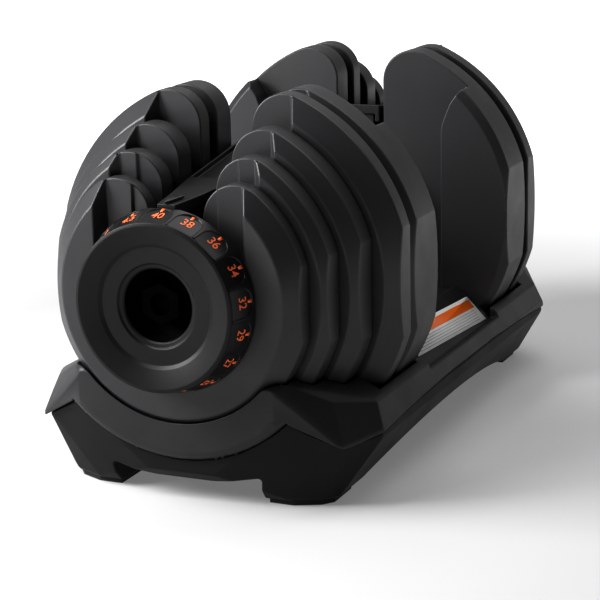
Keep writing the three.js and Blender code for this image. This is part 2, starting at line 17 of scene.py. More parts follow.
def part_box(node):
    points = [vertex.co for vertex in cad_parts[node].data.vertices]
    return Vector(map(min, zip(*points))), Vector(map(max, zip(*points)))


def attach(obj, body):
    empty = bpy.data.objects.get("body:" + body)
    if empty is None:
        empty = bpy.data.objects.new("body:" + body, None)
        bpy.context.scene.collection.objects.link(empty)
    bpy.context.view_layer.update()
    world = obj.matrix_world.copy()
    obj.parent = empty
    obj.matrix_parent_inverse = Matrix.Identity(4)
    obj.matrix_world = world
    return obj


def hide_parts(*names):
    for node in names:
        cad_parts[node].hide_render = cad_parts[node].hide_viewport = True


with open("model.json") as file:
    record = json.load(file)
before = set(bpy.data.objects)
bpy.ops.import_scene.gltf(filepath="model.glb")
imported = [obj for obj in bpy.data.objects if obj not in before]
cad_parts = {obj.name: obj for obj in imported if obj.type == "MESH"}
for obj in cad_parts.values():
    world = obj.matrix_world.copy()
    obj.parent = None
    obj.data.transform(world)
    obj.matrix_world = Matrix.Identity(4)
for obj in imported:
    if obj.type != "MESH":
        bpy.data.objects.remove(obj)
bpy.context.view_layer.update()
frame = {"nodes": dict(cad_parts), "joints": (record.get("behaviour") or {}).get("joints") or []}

MM = 0.001
AXIS_Z = next(j["pos_m"][2] for j in frame["joints"] if j["name"] == "front_dial_turn")
HALF_TURN = Matrix.Rotation(math.pi, 4, "Z")
ENDS = ("front", "rear")
FAR = 0.3                      # cutting shapes end well outside the object
TURN_SEGMENTS = 128
ON_AXIS = 1e-7                 # a smaller radius than this is a point on the axis


# ---------------------------------------------------------------- shapes
def bend(first, corner, last, radius, steps):
    """The points of an arc that rounds a corner."""
    before = (first - corner).normalized()
    after = (last - corner).normalized()
    half = before.angle(after) / 2
    centre = corner + (before + after).normalized() * (radius / math.sin(half))
    start = corner + before * (radius / math.tan(half)) - centre
    end = corner + after * (radius / math.tan(half)) - centre
    sweep = math.atan2(start.x * end.y - start.y * end.x, start.dot(end))
    points = []
    for step in range(steps + 1):
        turn = Matrix.Rotation(sweep * step / steps, 2)
        points.append(centre + turn @ start)
    return points


def rounded(corners, steps=4):
    """Corners as (a, b), or (a, b, radius) where the corner is rounded."""
    points = []
    for index, corner in enumerate(corners):
        here = Vector(corner[:2])
        if len(corner) < 3:
            points.append(here)
            continue
        first = Vector(corners[index - 1][:2])
        last = Vector(corners[(index + 1) % len(corners)][:2])
        points += bend(first, here, last, corner[2], steps)
    return points


def arc(centre, radius, start, end, steps):
    """Points on an arc, its angles counted from +X towards +Z."""
    angles = [math.radians(start + (end - start) * i / steps) for i in range(steps + 1)]
    return [(centre[0] + radius * math.cos(a), centre[1] + radius * math.sin(a)) for a in angles]


def mirrored(corners):
    """An outline's other half, its corners in the same turning sense."""
    return [(-corner[0], *corner[1:]) for corner in reversed(corners)]


def placed(mesh):
    """A mesh as an object in the scene."""
    piece = bpy.data.objects.new("shape", mesh)
    bpy.context.scene.collection.objects.link(piece)
    return piece


def made(maker):
    """An object from a bmesh, its faces pointing out."""
    bmesh.ops.recalc_face_normals(maker, faces=maker.faces)
    return collected(maker)


def collected(maker):
    """An object from a bmesh, its faces as they are."""
    mesh = bpy.data.meshes.new("shape")
    maker.to_mesh(mesh)
    maker.free()
    return placed(mesh)


def points_round(maker, radii, y):
    """Points round the handle's axis, clockwise from the top, one for each radius."""
    points = []
    for i, radius in enumerate(radii):
        angle = 2 * math.pi * i / len(radii)
        spot = (radius * math.sin(angle), y, AXIS_Z + radius * math.cos(angle))
        points.append(maker.verts.new(spot))
    return points


def turned(corners, segments=TURN_SEGMENTS, steps=4):
    """Turned about the handle's axis from corners (radius, distance out[, rounding])."""
    maker = bmesh.new()
    rings = []
    for radius, out in rounded(corners, steps):
        count = segments if radius > ON_AXIS else 1
        rings.append(points_round(maker, [radius] * count, -out))
    pairs = list(zip(rings, rings[1:]))
    if len(rings[0]) > 1:
        pairs.append((rings[-1], rings[0]))
    for low, high in pairs:
        for i in range(segments):
            corners_of_face = [low[i % len(low)], low[(i + 1) % len(low)],
                               high[(i + 1) % len(high)], high[i % len(high)]]
            maker.faces.new(list(dict.fromkeys(corners_of_face)))
    return made(maker)


def tube(hole, radius, inner, outer, segments=64):
    """A plain ring about the handle's axis, or a round bar where its hole is 0."""
    return turned([(hole, inner), (radius, inner), (radius, outer), (hole, outer)], segments)


def prism(points, along, start, end):
    """An outline pushed along an axis: 'y' takes (x, z), 'x' takes (y, z), 'z' takes (x, y)."""
    order = {"x": (2, 0, 1), "y": (0, 2, 1), "z": (0, 1, 2)}[along]
    maker = bmesh.new()
    sides = []
    for level in (start, end):
        spots = [(point[0], point[1], level) for point in points]
        sides.append([maker.verts.new([spot[i] for i in order]) for spot in spots])
    low, high = sides
    maker.faces.new(low)
    maker.faces.new(high)
    for i in range(len(points)):
        j = (i + 1) % len(points)
        maker.faces.new((low[i], low[j], high[j], high[i]))
    return made(maker)


def pushed(corners, inner, outer):
    """An outline of (x, z) pushed along the handle between two distances from the middle."""
    return prism(rounded(corners), "y", -outer, -inner)


def block(x0, x1, y0, y1, z0, z1):
    return prism([(x0, y0), (x1, y0), (x1, y1), (x0, y1)], "z", z0, z1)


def post(x, y, z0, z1, radius):
    segments = 32
    circle = arc((x, y), radius, 0, 360 - 360 / segments, segments - 1)
    return prism(circle, "z", z0, z1)


def arched(reach, foot, height, power, steps):
    """An arch from -reach to reach that rises from its foot by a height, flatter with more power."""
    shares = [-1 + 2 * i / steps for i in range(steps + 1)]
    return [(share * reach, foot + height * (1 - abs(share) ** power)) for share in shares]


def hull(points, radius=0.0):
    """The convex body round some points, its level faces merged and its edges rounded."""
    maker = bmesh.new()
    for point in points:
        maker.verts.new(point)
    bmesh.ops.convex_hull(maker, input=maker.verts)
    loose = [v for v in maker.verts if not v.link_faces]
    bmesh.ops.delete(maker, geom=loose, context="VERTS")
    bmesh.ops.dissolve_limit(maker, angle_limit=0.01, verts=maker.verts, edges=maker.edges)
    if not radius:
        return made(maker)
    bmesh.ops.recalc_face_normals(maker, faces=maker.faces)
    centres = [drawn_in(corner, radius) for corner in maker.verts]
    maker.free()
    return hull([centre + way * radius for centre in centres for way in sphere_ways()])


def drawn_in(corner, depth):
    """A corner moved in until it is a given depth below each of its faces."""
    normals = [face.normal for face in corner.link_faces]
    products = [[sum(n[i] * n[j] for n in normals) for j in range(3)] for i in range(3)]
    pull = sum(normals, Vector()) * -depth
    return corner.co + Matrix(products).inverted() @ pull


def sphere_ways():
    """Directions spread evenly all round."""
    ball = bmesh.new()
    bmesh.ops.create_icosphere(ball, subdivisions=3, radius=1)
    ways = [corner.co.copy() for corner in ball.verts]
    ball.free()
    return ways


def settle(piece):
    """Makes a piece's modifiers part of its mesh."""
    evaluated = piece.evaluated_get(bpy.context.evaluated_depsgraph_get())
    mesh = bpy.data.meshes.new_from_object(evaluated)
    piece.modifiers.clear()
    piece.data = mesh
    return piece


def combine(operation, body, tools):
    """A body after one boolean with each tool; the tools are used up."""
    for tool in tools:
        modifier = body.modifiers.new(operation, "BOOLEAN")
        modifier.operation = operation
        modifier.solver = "MANIFOLD"
        modifier.object = tool
    settle(body)
    for tool in tools:
        bpy.data.objects.remove(tool)
    return body


def cut(body, *tools):
    return combine("DIFFERENCE", body, tools)


def join(body, *tools):
    return combine("UNION", body, tools)


def common(body, *tools):
    return combine("INTERSECT", body, tools)


def at_rear(piece):
    """A copy of a front shape at the rear end."""
    copy = bpy.data.objects.new(piece.name, piece.data.copy())
    copy.data.transform(HALF_TURN)
    bpy.context.scene.collection.objects.link(copy)
    return copy


def both_ends(piece):
    """A front shape and its copy at the rear."""
    return [piece, at_rear(piece)]


# ---------------------------------------------------------------- finishing a piece
STRAY = 0.25 * MM              # points closer than this are merged before edges are rounded
LEVEL = math.radians(0.4)      # faces closer to level than this become one
SHARP = math.radians(30)       # edges sharper than this are rounded
CREASE = math.radians(7)       # and low creases down to this stay crisp
SPECK = 0.02 * MM              # faces thinner than this are dropped
WELD = 0.01 * MM               # points closer than this are merged after rounding
LOOP_REACH = 4 * MM            # longer loops than this belong to the shape
PINCH_ROUNDS = 4


def soften(piece, width):
    """Rounds a shape's sharp edges before it is joined to others."""
    bevel = piece.modifiers.new("soften", "BEVEL")
    bevel.width = width
    bevel.segments = 3
    bevel.angle_limit = SHARP
    bevel.use_clamp_overlap = False
    return settle(piece)


def crossing(face):
    """Where an outline crosses itself one edge apart: the two points and the spot."""
    level = face.normal.to_track_quat("Z", "Y").to_matrix().inverted()
    corners = list(face.verts)
    flat = [(level @ corner.co).to_2d() for corner in corners]
    count = len(flat)
    for i in range(count):
        j, k, m = (i + 1) % count, (i + 2) % count, (i + 3) % count
        spot = intersect_line_line_2d(flat[i], flat[j], flat[k], flat[m])
        if spot:
            depth = (level @ corners[j].co).z
            return corners[j], corners[k], level.inverted() @ Vector((*spot, depth))
    return None


def pinch(maker):
    """Closes the small loops that rounding leaves where edges of several kinds meet."""
    for _ in range(PINCH_ROUNDS):
        for face in list(maker.faces):
            if not face.is_valid or len(face.verts) < 5:
                continue
            face.normal_update()
            loop = crossing(face)
            if loop and (loop[0].co - loop[1].co).length < LOOP_REACH:
                bmesh.ops.pointmerge(maker, verts=loop[:2], merge_co=loop[2])


def round_edges(piece, width, segments, crease):
    """Merges stray points, marks the low creases and rounds the sharp edges."""
    maker = bmesh.new()
    maker.from_mesh(piece.data)
    bmesh.ops.remove_doubles(maker, verts=maker.verts, dist=STRAY)
    bmesh.ops.dissolve_degenerate(maker, edges=maker.edges, dist=SPECK)
    bmesh.ops.dissolve_limit(maker, angle_limit=LEVEL, verts=maker.verts, edges=maker.edges)
    for edge in maker.edges:
        edge.smooth = not (crease and CREASE < edge.calc_face_angle(0) < SHARP)
    sharp = [edge for edge in maker.edges if edge.calc_face_angle(0) > SHARP]
    bmesh.ops.bevel(maker, geom=sharp, offset=width, offset_type="OFFSET", segments=segments,
                    profile=0.5, affect="EDGES", clamp_overlap=False)
    pinch(maker)
    bmesh.ops.remove_doubles(maker, verts=maker.verts, dist=WELD)
    maker.to_mesh(piece.data)
    maker.free()


def hold_inside(piece, low, high):
    """No point of a piece stands outside the box of its CAD node."""
    for point in piece.data.vertices:
        point.co = [min(max(value, least), most) for value, least, most in zip(point.co, low, high)]


def finished(piece, name, body, material, slot, edge=0, replaces=None, segments=3, crease=False):
    """Names a piece, rounds its edges, and puts it on its body in place of its CAD node."""
    piece.name = name
    piece.data.name = name
    if edge:
        round_edges(piece, edge, segments, crease)
        hold_inside(piece, *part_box(replaces))
    piece.data.shade_smooth()
    if edge:
        normals = piece.modifiers.new("level_faces", "WEIGHTED_NORMAL")
        normals.keep_sharp = True
    piece.data.materials.clear()
    piece.data.materials.append(material)
    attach(piece, body)
    if replaces:
        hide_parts(replaces)


# ---------------------------------------------------------------- weight plates
PLATE_RADIUS = {1: 0.0763, 2: 0.0858, 3: 0.0962, 4: 0.1103, 5: 0.1103}
PLATE_FRONT = {1: 0.1876, 2: 0.1712, 3: 0.1492, 4: 0.1214, 5: 0.0993}   # face of the lobes
INNER_PLATE_BACK = 0.081
SLOT_HALF = 0.016
LOBE_ROUND = 0.020
POCKET_HALF = 0.041
POCKET_FLARE = 0.0042          # how far its walls lean out
POCKET_REACH = 0.02
BAND_HALF = {1: 0.0256, 2: 0.0306}     # a stepped band beside the slot
BAND_DEPTH = 0.0016
CHEEK_BEVEL = 0.0045
CHEEK_INNER_X = 0.0615
CHEEK_CORNER = (0.074, 0.198)
LUG = {"half": 0.006, "inner": 0.0295, "outer": 0.0345, "height": 0.0016}


def slot_shape(half, inner, outer):
    """A U about the axis, open upwards."""
    return pushed([(half, FAR), (-half, FAR)] + arc((0, AXIS_Z), half, 180, 360, 40), inner, outer)


def pocket(front, face):
    """The recess for the selector disc; its walls lean outwards towards the plate's face."""
    shape = slot_shape(POCKET_HALF, front, front + POCKET_REACH)
    lean = POCKET_FLARE / POCKET_HALF / (face - front)
    for vertex in shape.data.vertices:
        grown = 1 + lean * (-vertex.co.y - front)
        vertex.co.x *= grown
        if vertex.co.z < AXIS_Z:
            vertex.co.z = AXIS_Z + (vertex.co.z - AXIS_Z) * grown
    return shape


def lobe_corner(radius):
    """What is cut away where the slot's edge meets the round rim, on the +X side."""
    reach = radius - LOBE_ROUND
    x = SLOT_HALF + LOBE_ROUND
    z = AXIS_Z + math.sqrt(reach**2 - x**2)
    rim = math.atan2(z - AXIS_Z, x)
    outline = [(0, z)] + arc((x, z), LOBE_ROUND, 180, math.degrees(rim), 16)
    last_x, last_z = outline[-1]
    beyond = 0.003
    outline.append((last_x + beyond * math.cos(rim), last_z + beyond * math.sin(rim)))
    return outline + [(last_x, FAR), (0, FAR)]


def cheeks(radius, inner, back):
    """Two cheeks that stand towards the hand, either side of the grip."""
    rim = turned([(0, inner), (radius - CHEEK_BEVEL, inner), (radius, inner + CHEEK_BEVEL),
                  (radius, back + MM), (0, back + MM)])
    x, z = CHEEK_CORNER
    side = [(FAR, 0.02), (FAR, z), (x, z, 0.004), (CHEEK_INNER_X + 0.006, z - 0.009, 0.006),
            (CHEEK_INNER_X, z - 0.024, 0.02), (CHEEK_INNER_X, 0.062, 0.02), (CHEEK_INNER_X + 0.008, 0.02)]
    pair = [pushed(outline, inner - MM, back + 2 * MM) for outline in (side, mirrored(side))]
    return common(rim, join(*pair))


def weight_plate(number):
    """A round plate with flat sides, a slot, a pocket for its disc and a lug that the disc holds."""
    radius, front = PLATE_RADIUS[number], PLATE_FRONT[number]
    low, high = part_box(f"front_plate_{number}")
    face, inner, flat = -low.y, -high.y, high.x
    back = INNER_PLATE_BACK if number == 5 else inner
    bevel = radius - (face - front)
    body = turned([(0, back), (radius, back), (radius, front), (bevel, face), (0, face)])
    if number == 5:
        body = join(body, cheeks(radius, inner, back))
    body = common(body, block(-flat, flat, -face - MM, -inner + MM, low.z, FAR))
    ends = (inner - MM, face + MM)
    corner = lobe_corner(radius)
    tools = [slot_shape(SLOT_HALF, *ends), pocket(front, face)]
    tools += [pushed(outline, *ends) for outline in (corner, mirrored(corner))]
    if number in BAND_HALF:
        tools.append(slot_shape(BAND_HALF[number], front - BAND_DEPTH, face + MM))
    lug = block(-LUG["half"], LUG["half"], -front - LUG["height"], -front + 2 * MM,
                AXIS_Z - LUG["outer"], AXIS_Z - LUG["inner"])
    return join(cut(body, *tools), lug)


# ---------------------------------------------------------------- selector
FIGURES = ["40", "38", "36", "34", "32", "29", "27", "25", "22", "20", "18", "16", "13", "11", "9",
           "7", "4.5"]
DIAL_STEPS = len(FIGURES)
DIAL_FACE = -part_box("front_dial_knob")[0].y
DIAL_BACK = -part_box("front_dial_knob")[1].y
DIAL_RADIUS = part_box("front_dial_knob")[1].x
DIAL_BORE = 0.040              # radius of the barrel that carries the number ring
DIAL_HOLE = 0.0201
HOLE_BOTTOM = 0.201            # distance from the middle
DISH = [(0.0345, 0.0036, 0.0022), (0.0325, 0.0050, 0.0010), (0.0238, 0.0054, 0.0008),
        (0.0229, 0.0064, 0.0004), (DIAL_HOLE + 0.0009, 0.0068, 0.0003),
        (DIAL_HOLE, 0.0078, 0.0004)]   # radius, depth below the face, rounding
RING_FRONT = -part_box("front_dial_ring")[0].y
RING_BACK = -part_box("front_dial_ring")[1].y
RING_RADIUS = 0.0513
RING_NOSE = 0.0469             # radius of the ring beside the knob's edge
RING_FOOT = RING_BACK + 0.001  # the cone ends here
TAB = {"half": 0.0079, "depth": 0.0009, "round": 0.0072, "margin": 0.0007, "over": 0.004}
SLEEVE_RADIUS = 0.010
SPINDLE_RADIUS = 0.006
DISC = {"radius": 0.039, "back": 0.0022, "web": 0.0016, "rim": 0.0032, "clear": 0.0005}
GAP = 0.0003                   # play between pieces that turn or slide on each other
CAP_SHARE = 0.7                # height of a figure as a share of its type size
FIGURE = {"height": 0.0060, "foot": 0.0058, "narrow": 0.82, "bolder": 0.00008}
PAINT = 0.0001                 # how far the paint stands out
TICK = {"from": 0.0126, "to": 0.0166, "low": 0.0007, "high": 0.0012}


def dial_knob():
    """A dished face with a raised ring, a lipped hole and a barrel for the number ring."""
    face, rim = DIAL_FACE, DIAL_RADIUS
    barrel = [(SPINDLE_RADIUS + GAP, DIAL_BACK), (DIAL_BORE, DIAL_BACK), (DIAL_BORE, RING_FRONT + GAP)]
    flange = [(rim - 0.0006, RING_FRONT + GAP), (rim, RING_FRONT + 0.0009, 0.0004),
              (rim, face - 0.0006, 0.0009), (rim - 0.0022, face, 0.0012)]
    dish = [(radius, face - depth, rounding) for radius, depth, rounding in DISH]
    hole = [(DIAL_HOLE, HOLE_BOTTOM), (SPINDLE_RADIUS + GAP, HOLE_BOTTOM)]
    return turned(barrel + flange + dish + hole, segments=160)


def cone_frame(turn, along, lift=0.0):
    """A frame on the ring's cone: X clockwise, Y towards the plates, Z out of the surface."""
    angle = 2 * math.pi * turn / DIAL_STEPS
    rise = Vector((RING_RADIUS - RING_NOSE, RING_FRONT - RING_FOOT)).normalized()
    radial = Vector((math.sin(angle), 0, math.cos(angle)))
    across = Vector((math.cos(angle), 0, -math.sin(angle)))
    along_cone = radial * rise.x + Vector((0, rise.y, 0))
    out = across.cross(along_cone)
    start = Vector((0, -RING_FRONT, AXIS_Z)) + radial * RING_NOSE
    spot = start + along_cone * along + out * lift
    return Matrix.Translation(spot) @ Matrix((across, along_cone, out)).transposed().to_4x4()


def tab_cutter(turn):
    """A tongue-shaped flat, open at the dial's face and rounded towards the plates."""
    half, rounding, over = TAB["half"], TAB["round"], TAB["over"]
    end = math.hypot(RING_RADIUS - RING_NOSE, RING_FRONT - RING_FOOT) - TAB["margin"]
    outline = [(-half, -over), (half, -over), (half, end, rounding), (-half, end, rounding)]
    tool = prism(rounded(outline, steps=8), "z", -TAB["depth"], over)
    tool.data.transform(cone_frame(turn, 0))
    return tool


def dial_ring():
    """A cone with a flat for each setting."""
    body = turned([
        (DIAL_BORE + GAP, RING_BACK), (RING_RADIUS, RING_BACK), (RING_RADIUS, RING_FOOT),
        (RING_NOSE, RING_FRONT), (DIAL_BORE + GAP, RING_FRONT),
    ], segments=136)
    return cut(body, *[tab_cutter(turn) for turn in range(DIAL_STEPS)])


def lettering(text):
    """A number as thin flat figures, centred and standing on Y = 0."""
    curve = bpy.data.curves.new("figure", "FONT")
    curve.body = text
    curve.size = FIGURE["height"] / CAP_SHARE
    curve.align_x = "CENTER"
    curve.extrude = PAINT / 2
    curve.offset = FIGURE["bolder"]
    curve.resolution_u = 3
    letters = bpy.data.objects.new("figure", curve)
    bpy.context.scene.collection.objects.link(letters)
    evaluated = letters.evaluated_get(bpy.context.evaluated_depsgraph_get())
    mesh = bpy.data.meshes.new_from_object(evaluated)
    bpy.data.objects.remove(letters)
    return placed(mesh)


def tick():
    """The mark that leads a number to the pointer."""
    low, high = TICK["low"], TICK["high"]
    return prism([(-low, TICK["from"]), (low, TICK["from"]), (high, TICK["to"]), (-high, TICK["to"])],
                 "z", 0, PAINT)


def dial_figures():
    """Every setting's number and tick, on the ring's flats, as one shape."""
    maker = bmesh.new()
    lift = PAINT - TAB["depth"]
    narrow = Matrix.Diagonal((FIGURE["narrow"], 1, 1, 1))
    for turn, text in enumerate(FIGURES):
        number_place = cone_frame(turn, FIGURE["foot"], lift) @ narrow
        for piece, place in ((lettering(text), number_place), (tick(), cone_frame(turn, 0, lift))):
            piece.data.transform(place)
            maker.from_mesh(piece.data)
            bpy.data.objects.remove(piece)
    return collected(maker)


def disc_breaks(number):
    """Two fans where the disc's edge is broken, at other settings for each disc."""
    front, index, step = PLATE_FRONT[number], number - 1, 360 / DIAL_STEPS
    fans = []
    for gap in range(2):
        middle = 90 - step * (3 + index * 2.5 + gap * (3 + index % 3))
        rim = arc((0, AXIS_Z), 0.06, middle - 0.6 * step, middle + 0.6 * step, 4)
        fans.append(pushed([(0, AXIS_Z)] + rim, front, front + DISC["back"]))
    return fans


def selector_disc(number):
    """A thin web and a raised edge, broken where its plate stays behind."""
    front, radius, clear = PLATE_FRONT[number], DISC["radius"], DISC["clear"]
    web = front + DISC["back"]
    disc = tube(SLEEVE_RADIUS + GAP, radius, web, web + DISC["web"], segments=96)
    edge = tube(radius - DISC["rim"], radius, front + clear, web + clear, segments=96)
    return join(disc, cut(edge, *disc_breaks(number)))


def selector_sleeve():
    return tube(SPINDLE_RADIUS + GAP, SLEEVE_RADIUS, PLATE_FRONT[5] + 0.0008, DIAL_BACK - 0.0005)


# ---------------------------------------------------------------- handle
GRIP_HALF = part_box("grip")[1].y
GRIP_RADIUS = 0.0165
GRIP_SWELL = 0.0018
GRIP_EDGE = {"drop": 0.0014, "share": 0.025}       # the rounding of its last 2.5 %
KNURL = {"rings": 232, "around": 168, "turns": 21, "pitch": 42, "depth": 0.0005,
         "end": 0.86, "fade": 0.02}
TUBE_HOLE = 0.011 + GAP        # the handle tube and its play
COLLAR = {"inner": 0.0585, "outer": 0.0645, "radius": 0.033, "hub": 0.020}
ARM = {"inner": 0.082, "outer": 0.088, "half": 0.009, "eye": 0.014}
LOCK = {"y": 0.071, "hole": 0.0044, "top": 0.096}
HOUSING = {"half": 0.008, "front": 0.007, "low": 0.0805, "under_axis": 0.015, "round": 0.002}


def grip_radius(angle, along):
    """The knurled surface's radius at an angle, along running from -1 to 1."""
    swell = GRIP_SWELL * math.cos(along * math.pi / 2) ** 2
    edge = GRIP_EDGE["drop"] * max(0, (abs(along) - 1 + GRIP_EDGE["share"]) / GRIP_EDGE["share"]) ** 2
    band = min(1, max(0, (KNURL["end"] - abs(along)) / KNURL["fade"]))
    waves = [math.sin(angle * KNURL["turns"] + way * along * KNURL["pitch"]) for way in (1, -1)]
    valley = 1 - abs(waves[0]) * abs(waves[1])
    return GRIP_RADIUS - GRIP_SWELL + swell - edge - KNURL["depth"] * band * valley


def grip():
    """A swelled rubber grip with a fine diamond knurl between two plain bands."""
    rings, around = KNURL["rings"], KNURL["around"]
    maker = bmesh.new()
    loop = []
    for ring in range(rings + 1):
        along = -1 + 2 * ring / rings
        radii = [grip_radius(2 * math.pi * i / around, along) for i in range(around)]
        loop.append(points_round(maker, radii, along * GRIP_HALF))
    loop += [points_round(maker, [TUBE_HOLE] * around, y) for y in (GRIP_HALF, -GRIP_HALF)]
    for low, high in zip(loop, loop[1:] + loop[:1]):
        for i in range(around):
            j = (i + 1) % around
            maker.faces.new((low[i], low[j], high[j], high[i]))
    return made(maker)


def collar():
    """A guard disc at the end of the grip, with a housing for the lock pin below it."""
    inner, outer, radius, hub = COLLAR["inner"], COLLAR["outer"], COLLAR["radius"], COLLAR["hub"]
    end = ARM["inner"] - MM
    disc = turned([(TUBE_HOLE, inner), (radius, inner, 0.002), (radius, outer), (hub, outer, 0.001),
                   (hub, end), (TUBE_HOLE, end)], segments=96)
    half, y, low = HOUSING["half"], -LOCK["y"], HOUSING["low"]
    housing = block(-half, half, y - HOUSING["front"], -inner - MM, low, AXIS_Z - HOUSING["under_axis"])
    body = join(disc, soften(housing, HOUSING["round"]))
    return cut(body, post(0, y, low - MM, LOCK["top"] + MM, LOCK["hole"]))


def spindle_nut():
    low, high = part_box("front_nut")
    body = turned([(0, -high.y), (high.x, -high.y), (high.x, -low.y, 0.001), (0, -low.y)], segments=6)
    return cut(body, tube(0, SPINDLE_RADIUS + GAP, -high.y - MM, -low.y + MM))


# ---------------------------------------------------------------- bridge
BRIDGE_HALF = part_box("front_bridge")[1].x
BRIDGE_WALL = 0.003
BRIDGE_ROOF = 0.006
BRIDGE_DEPTH = 0.011           # from its top to the lower edge of its sides
OPEN_BELOW = 0.03              # the hollow reaches down past the walls
BRIDGE_TOP = [(0.079, 0.1839), (0.144, 0.1736), (0.172, 0.171), (0.197, 0.1696)]
NOSE = {"half": 0.0055, "from": 0.144}
TROUGH = {"half": 0.0124, "from": 0.084, "to": 0.141, "depth": 0.003}
POINTER = {"tip": 0.0014, "side": 0.0008, "round": 0.0004}


def trough():
    """The shallow trough between the side rails, its floor parallel to the top."""
    (near, near_z), (far, far_z) = BRIDGE_TOP[:2]
    ends = (TROUGH["from"], TROUGH["to"])
    floor = [near_z + (out - near) * (far_z - near_z) / (far - near) - TROUGH["depth"] for out in ends]
    side = [(-ends[0], floor[0]), (-ends[0], FAR), (-ends[1], FAR), (-ends[1], floor[1])]
    return prism(side, "x", -TROUGH["half"], TROUGH["half"])


def nose_outline():
    """The bridge from above: straight sides that narrow towards the dial."""
    near, far = BRIDGE_TOP[0][0], BRIDGE_TOP[-1][0]
    side = [(BRIDGE_HALF, -near), (BRIDGE_HALF, -NOSE["from"]), (NOSE["half"], -far)]
    return [(-x, y) for x, y in side] + side[::-1]


def bridge_hollow():
    """The room under the bridge's roof, open towards the hand and below."""
    (near, high), (far, low) = BRIDGE_TOP[0], BRIDGE_TOP[-1]
    start, end = -near + MM, -far + BRIDGE_WALL
    ceiling = [(-out, z - BRIDGE_ROOF) for out, z in BRIDGE_TOP[1:-1]]
    outline = [(start, high - BRIDGE_ROOF), *ceiling, (end, low - BRIDGE_ROOF),
               (end, low - OPEN_BELOW), (start, high - OPEN_BELOW)]
    half = BRIDGE_HALF - BRIDGE_WALL
    return prism(outline, "x", -half, half)


def bridge_arm():
    """The arm that stands on the handle tube behind the innermost plate."""
    half, eye, top = ARM["half"], ARM["eye"], BRIDGE_TOP[0][1] - 0.006
    return block(-half, half, -ARM["outer"], -ARM["inner"], AXIS_Z - eye + MM, top)


def bridge():
    """The cover over the discs, hollow below, with its arm and eye on the handle tube."""
    upper = [(-out, z) for out, z in BRIDGE_TOP]
    lower = [(y, z - BRIDGE_DEPTH) for y, z in reversed(upper)]
    body = prism(upper + lower, "x", -BRIDGE_HALF, BRIDGE_HALF)
    body = common(body, prism(nose_outline(), "z", 0, FAR))
    body = cut(body, bridge_hollow(), trough())
    body = join(body, bridge_arm(), tube(0, ARM["eye"], ARM["inner"], ARM["outer"]))
    beyond = 0.012
    return cut(body, tube(0, TUBE_HOLE, ARM["inner"] - beyond, ARM["outer"] + beyond))


def pointer():
    """A raised arrow on the bridge that points at the dial's top figure."""
    low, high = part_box("front_pointer")
    tip, back = low.y, high.y
    corners = [(0, tip, low.z), (0, tip, low.z + POINTER["tip"])]
    for x in (-high.x, high.x):
        corners += [(x, back, low.z + POINTER["side"]), (x, back, high.z)]
    return hull(corners, radius=POINTER["round"])


# ---------------------------------------------------------------- tray
TRAY_ARC = 0.0913              # radius of the lip about the handle's axis
SEAM_Z = 0.037                 # the parting line between cradle and base
SEAM_RISE = {"height": 0.006, "reach": 0.172, "from": 0.088}
PAD_HEIGHT = 0.003
FLOOR_TOP = 0.0135
CLEAR = 0.0013                 # round a plate
FACE_CLEAR = 0.0006            # in front of a plate
DIAL_ROOM = {"radius": 0.046, "from": 0.06}
BELOW = -0.005                 # cuts from below start here
LIP = {"face": 0.1964, "round_from": 0.0855, "edge": 0.1936}
DECK = {"half": 0.0624, "floor": 0.069, "floor_x": 0.068, "ridge": 0.0708, "ridge_x": 0.0764,
        "rail_x": 0.0964, "rail_z": 0.0508}
FOOT = {"inner_x": 0.0434, "from": 0.133}
ARCH = {"height": 0.021, "inner_x": 0.074}
NOTCH = {"half": 0.095, "from": 0.063, "to": 0.131, "z": 0.047}
END_ARCH = {"height": 0.0125, "half": 0.018, "shoulder": 0.017}
CORE = {"x": 0.066, "y": 0.056, "height": 0.02}    # the base's hollow under the deck
DECK_UNDERSIDE = [(0.060, 0.065), (0.072, 0.054), (0.072, 0)]


def four_ways(points):
    """Points and their mirror images on all four corners of the tray."""
    return [(sx * x, sy * y, z) for x, y, z in points for sx in (-1, 1) for sy in (-1, 1)]


def cradle_outer():
    """The upper shell before anything is cut, from its corner points."""
    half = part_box("tray_cradle")[1].x
    return hull(four_ways([
        (half, 0.150, 0.020), (0.0923, 0.181, 0.020), (0.058, 0.197, 0.020), (half, 0.150, 0.042),
        (0.0923, 0.181, 0.039), (0.0995, 0.146, 0.056), (0.085, 0.174, 0.061), (0.062, 0.1905, 0.0755),
        (0.058, 0.197, 0.073)]), radius=0.007)


def base_outer():
    """The lower shell before anything is cut, from its corner points."""
    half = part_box("tray_base")[1].x
    return hull(four_ways([
        (0.083, 0.130, PAD_HEIGHT), (0.083, 0.163, PAD_HEIGHT), (0.076, 0.171, PAD_HEIGHT),
        (0.061, 0.178, PAD_HEIGHT), (half, 0.149, 0.036), (half, 0.149, 0.045), (0.0905, 0.1785, 0.041),
        (0.062, 0.190, 0.055), (0.020, 0.192, 0.018)]), radius=0.004)


def above_seam(lift):
    """Everything above the parting line: level on the long sides, round under the ends."""
    seam, radius, half = SEAM_Z + lift, TRAY_ARC - lift, 0.065
    drop = math.sqrt(radius**2 - half**2)
    start = math.degrees(math.atan2(-drop, half))
    under = arc((0, AXIS_Z), radius, 180 - start, 360 + start, 72)
    shelf = 0.093
    outline = [(FAR, FAR), (-FAR, FAR), (-FAR, seam), (-shelf, seam), *under, (shelf, seam), (FAR, seam)]
    return cut(pushed(outline, -FAR, FAR), *both_ends(seam_arch(lift)))


def seam_arch(lift):
    """Where the parting line arches along one long side."""
    reach, low = SEAM_RISE["reach"], SEAM_Z - 0.01
    curve = arched(reach, SEAM_Z + lift, SEAM_RISE["height"], power=3, steps=64)
    return prism([(-reach, low), *curve, (reach, low)], "x", SEAM_RISE["from"] - lift, FAR)


